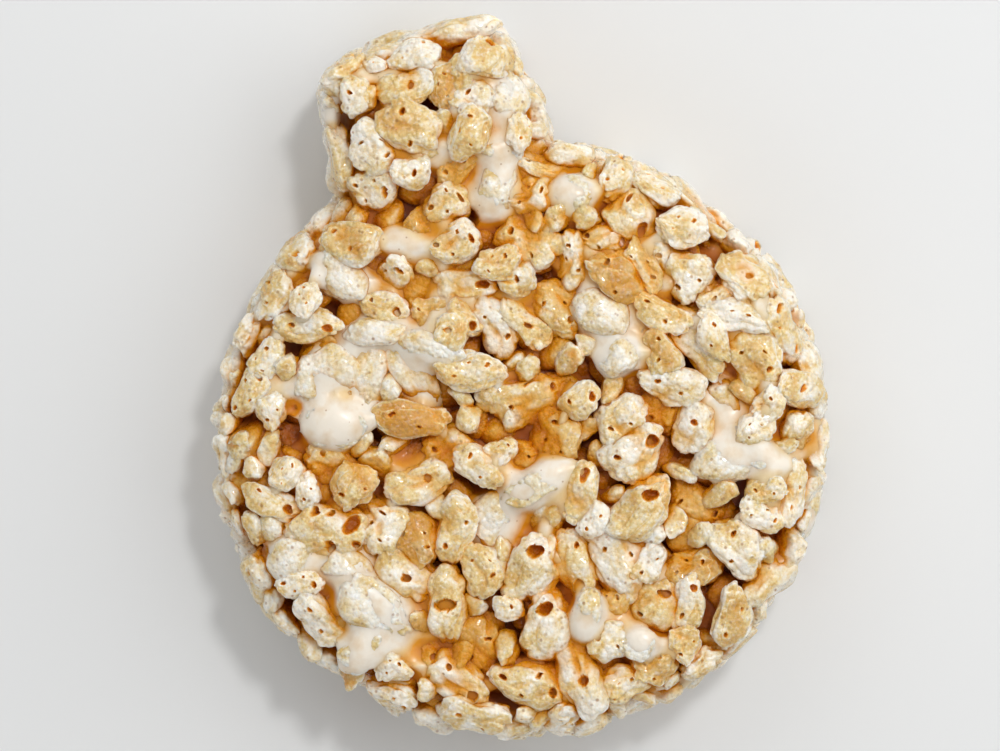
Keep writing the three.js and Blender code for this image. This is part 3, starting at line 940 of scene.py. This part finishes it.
# Its finish: an opaque, faintly waxy white, straw where it is a thin film over rice, and painted amber shade
# in crevices.
WHITE_TINTS = (linear("#f0e6d6"), linear("#e3ccac"))
FILM_TINTS = (linear("#f3e4c4"), linear("#dcb878"))
SPECK_TINT = "#a87c4c"
SPECK_SPACING = 1.3
WHITE_PATTERNS = [  # size, detail and roughness
    (2.5, 3.0, 0.5),  # clouds
    (1.7, 3.0, 0.6),  # blotches
    (1.2, 2.0, 0.5),  # ripples
]
marshmallow = bpy.data.materials.new("marshmallow, melted and set")
marshmallow.use_nodes = True
tree = marshmallow.node_tree
tree.nodes.clear()
where = add_node(tree, "ShaderNodeTexCoord").outputs["Object"]
crevice_shade_mark = add_node(tree, "ShaderNodeAttribute", attribute_name="crevice_shade_mark").outputs["Fac"]
thick = add_node(tree, "ShaderNodeAttribute", attribute_name="thickness").outputs["Fac"]
cloud, blotch, ripple = [
    add_node(
        tree,
        "ShaderNodeTexNoise",
        {"Vector": where, "Scale": 1 / (size * MM), "Detail": detail, "Roughness": roughness},
    ).outputs["Fac"]
    for size, detail, roughness in WHITE_PATTERNS
]
speck = add_node(
    tree, "ShaderNodeTexVoronoi", {"Vector": where, "Scale": 1 / (SPECK_SPACING * MM)}
).outputs["Distance"]
white_share = add_node(tree, "ShaderNodeMapRange", {"Value": cloud}, span=(0.45, 0.68)).outputs["Result"]
white = add_node(
    tree, "ShaderNodeMix", {0: white_share, 6: WHITE_TINTS[0], 7: WHITE_TINTS[1]}, data_type="RGBA"
).outputs[2]
straw = add_node(
    tree, "ShaderNodeMix", {0: blotch, 6: FILM_TINTS[0], 7: FILM_TINTS[1]}, data_type="RGBA"
).outputs[2]
white_share = add_node(tree, "ShaderNodeMapRange", {"Value": thick}, span=(0.05, 0.55)).outputs["Result"]
base = add_node(tree, "ShaderNodeMix", {0: white_share, 6: straw, 7: white}, data_type="RGBA").outputs[2]
speck_share = add_node(
    tree, "ShaderNodeMapRange", {"Value": speck}, span=(0.06, 0.11, 0.6, 0.0)
).outputs["Result"]
base = add_node(
    tree, "ShaderNodeMix", {0: speck_share, 6: base, 7: linear(SPECK_TINT)}, data_type="RGBA"
).outputs[2]
# Painted amber shade in crevices, with the same tints as on the rice.
crevice_shade_colour = add_node(tree, "ShaderNodeValToRGB", {"Fac": crevice_shade_mark}, stops=CREVICE_SHADE_TINTS).outputs["Color"]
painted_shade_share = add_node(tree, "ShaderNodeMapRange", {"Value": crevice_shade_mark}, span=(0.03, 0.28)).outputs["Result"]
base = add_node(tree, "ShaderNodeMix", {0: painted_shade_share, 6: base, 7: crevice_shade_colour}, data_type="RGBA").outputs[2]
dull = add_node(tree, "ShaderNodeMapRange", {"Value": crevice_shade_mark}, span=(0.2, 0.7, 0.33, 0.7)).outputs["Result"]
skin = add_node(tree, "ShaderNodeBump", {"Strength": 0.25, "Distance": 0.2 * MM, "Height": ripple})
surface = add_node(
    tree,
    "ShaderNodeBsdfPrincipled",
    {
        "Base Color": base,
        "Roughness": dull,
        "IOR": 1.45,
        "Subsurface Weight": 0.4,
        "Subsurface Radius": (2.0, 1.5, 1.1),
        "Subsurface Scale": 1.0 * MM,
        "Coat Weight": 0.15,
        "Coat Roughness": 0.15,
        "Normal": skin.outputs["Normal"],
    },
    subsurface_method="BURLEY",
)
add_node(tree, "ShaderNodeOutputMaterial", {"Surface": surface.outputs["BSDF"]})
melted.materials.clear()
melted.materials.append(marshmallow)
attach(mass, "root")
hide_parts("crispy_treat")


# The table: a plain pale matt board that the treat lies on, wide enough to fill the picture from any side.
TABLE_HALF = 1.5  # half its width, in metres
TABLE_TINT = "#e6e7e7"
table_mesh = bmesh.new()
bmesh.ops.create_grid(table_mesh, x_segments=1, y_segments=1, size=TABLE_HALF)
table_data = bpy.data.meshes.new("table")
table_mesh.to_mesh(table_data)
table_mesh.free()
table = bpy.data.objects.new("table", table_data)
bpy.context.scene.collection.objects.link(table)
paper = bpy.data.materials.new("matt pale board")
paper.use_nodes = True
paper.node_tree.nodes["Principled BSDF"].inputs["Base Color"].default_value = linear(TABLE_TINT)
paper.node_tree.nodes["Principled BSDF"].inputs["Roughness"].default_value = 0.7
table_data.materials.append(paper)


# The light: four soft boxes around the table and a dim white room, as in a small photo studio. The camera
# looks down from almost straight above.
ROOM_LIGHT = 0.33


def soft_light(name, direction, distance, size, power):
    """A square soft box that shines on the slab from a direction: the picture's right, its up, and above."""
    lamp = bpy.data.lights.new(name, "AREA")
    lamp.size = size
    lamp.energy = power
    thing = bpy.data.objects.new(name, lamp)
    way = Vector(picture_right * direction[0] + picture_up * direction[1] + above * direction[2]).normalized()
    thing.location = way * distance
    thing.rotation_euler = way.to_track_quat("Z", "Y").to_euler()
    bpy.context.scene.collection.objects.link(thing)


soft_light("window", (0.8, 0.4, 0.75), 0.6, 0.6, 1.72)
soft_light("back", (-0.3, 0.9, 0.75), 0.8, 0.7, 1.52)
soft_light("front", (-0.35, -0.8, 0.8), 0.9, 0.8, 1.37)
soft_light("lamp", (0.3, 0.45, 1.0), 0.8, 0.08, 1.65)
world = bpy.data.worlds.new("studio")
world.use_nodes = True
world.node_tree.nodes["Background"].inputs["Color"].default_value = (1, 1, 1, 1)
world.node_tree.nodes["Background"].inputs["Strength"].default_value = ROOM_LIGHT
bpy.context.scene.world = world
bpy.context.scene.view_settings.view_transform = "Standard"

camera_data = bpy.data.cameras.new("camera")
camera_data.sensor_width = 36.0
camera_data.lens = camera_data.sensor_width * LOOK_FROM * PIXELS_PER_MM / PICTURE_SIZE[0]
camera = bpy.data.objects.new("camera", camera_data)
bpy.context.scene.collection.objects.link(camera)
placement = np.eye(4)
placement[:3] = np.stack([frame_right, frame_up, view, (LOOK_AT + LOOK_FROM * view) * MM], axis=1)
camera.matrix_world = Matrix(placement.tolist())
bpy.context.scene.camera = camera
